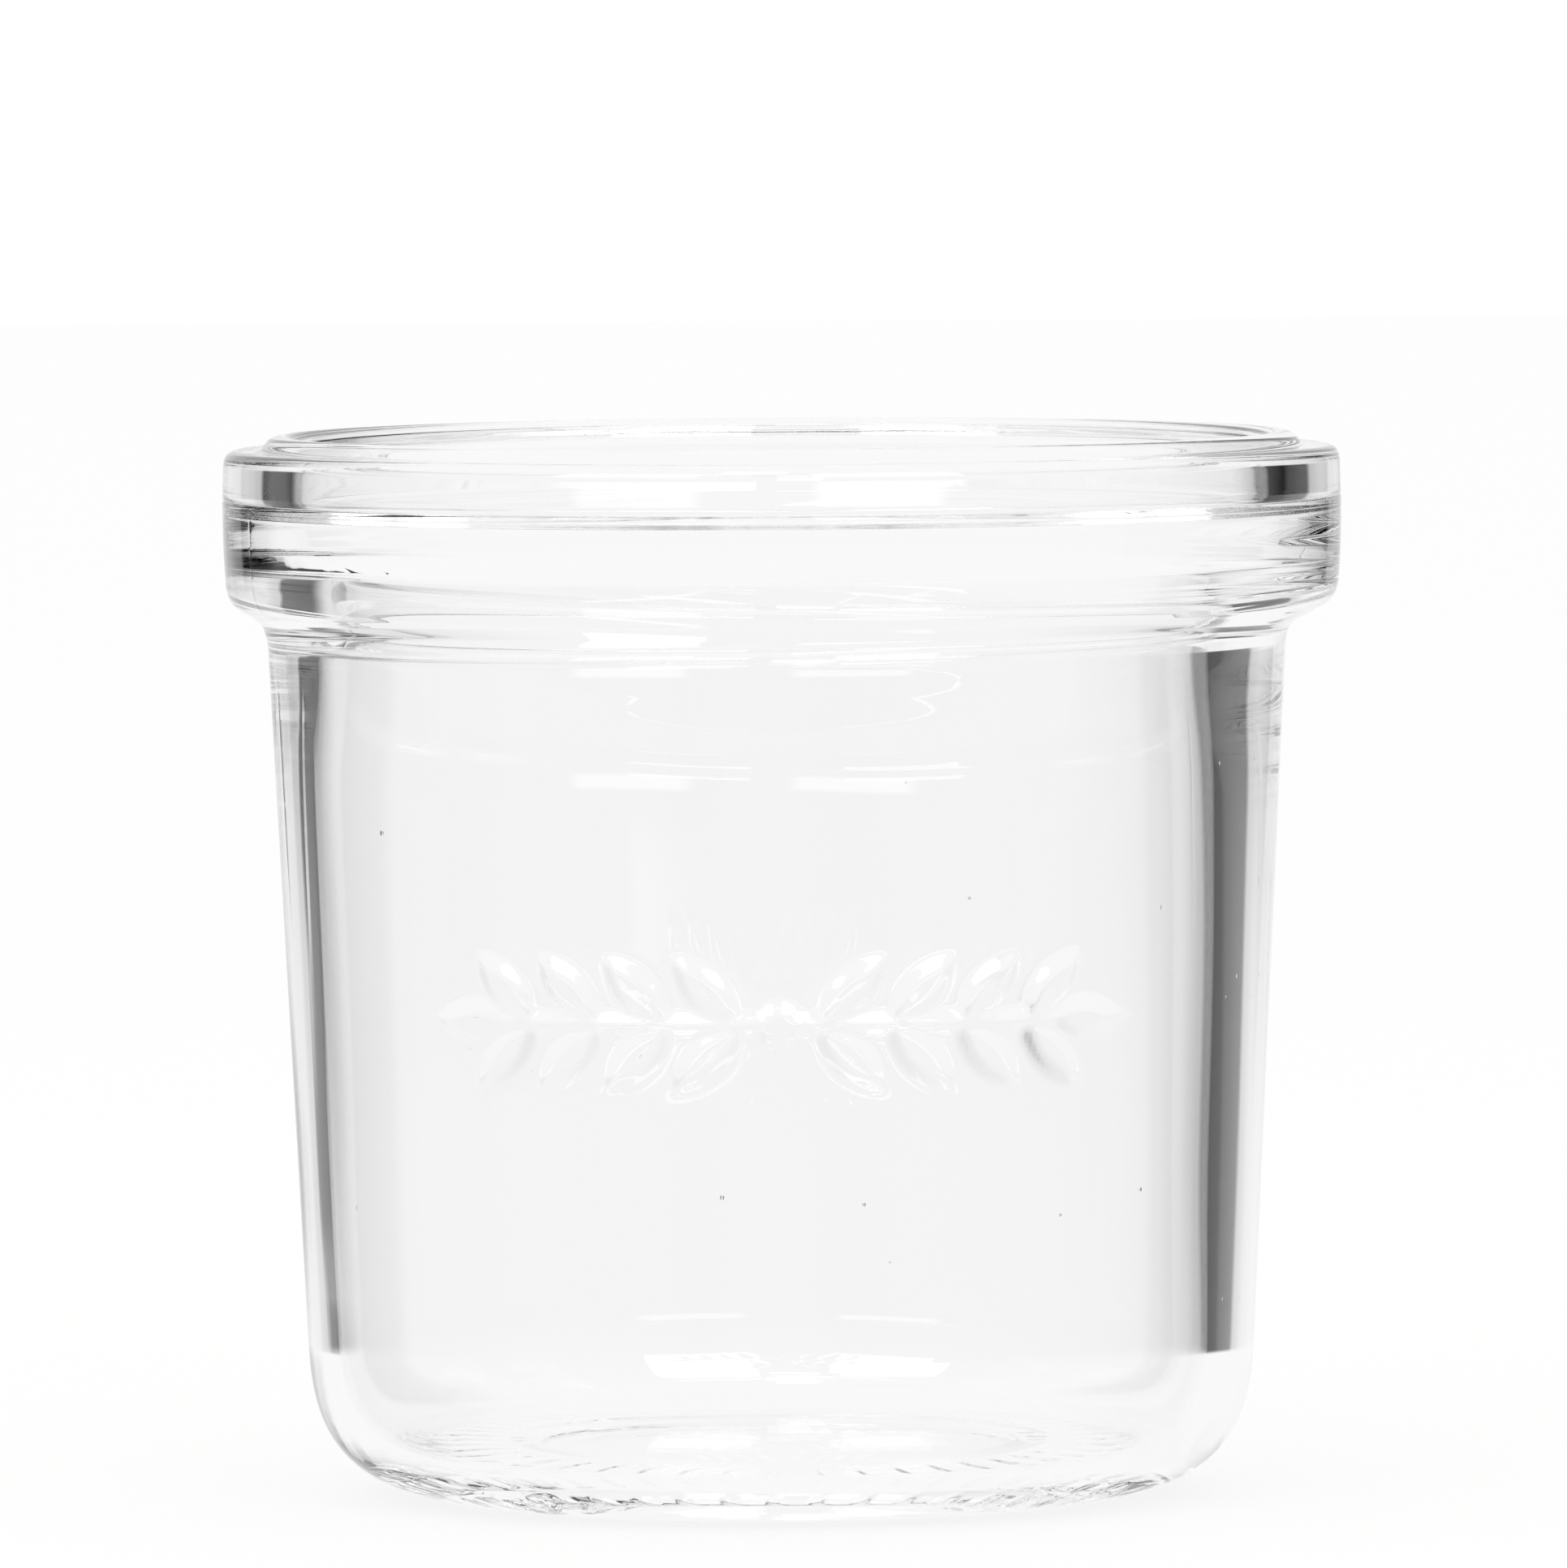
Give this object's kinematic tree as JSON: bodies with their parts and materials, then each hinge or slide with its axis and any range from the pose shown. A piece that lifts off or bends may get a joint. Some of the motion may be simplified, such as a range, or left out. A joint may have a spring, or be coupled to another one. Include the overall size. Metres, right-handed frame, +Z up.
{
  "type": "clip-top glass jar body",
  "caption": "Wide-mouth clear pressed-glass jar body with a heavy collar and sealing lip for a clip-top lid, empty and open, with a raised leaf sprig.",
  "frame": {"origin": "on the axis of the outside, in the plane that the jar stands on", "axes": "+Z up through the open mouth, the front with the raised sprig faces -Y"},
  "size_m": [0.0961, 0.096, 0.0913],
  "materials": {
    "glass": "clear pressed soda-lime glass, fire-polished"
  },
  "bodies": {
    "root": {"jar": "glass"}
  },
  "joints": []
}
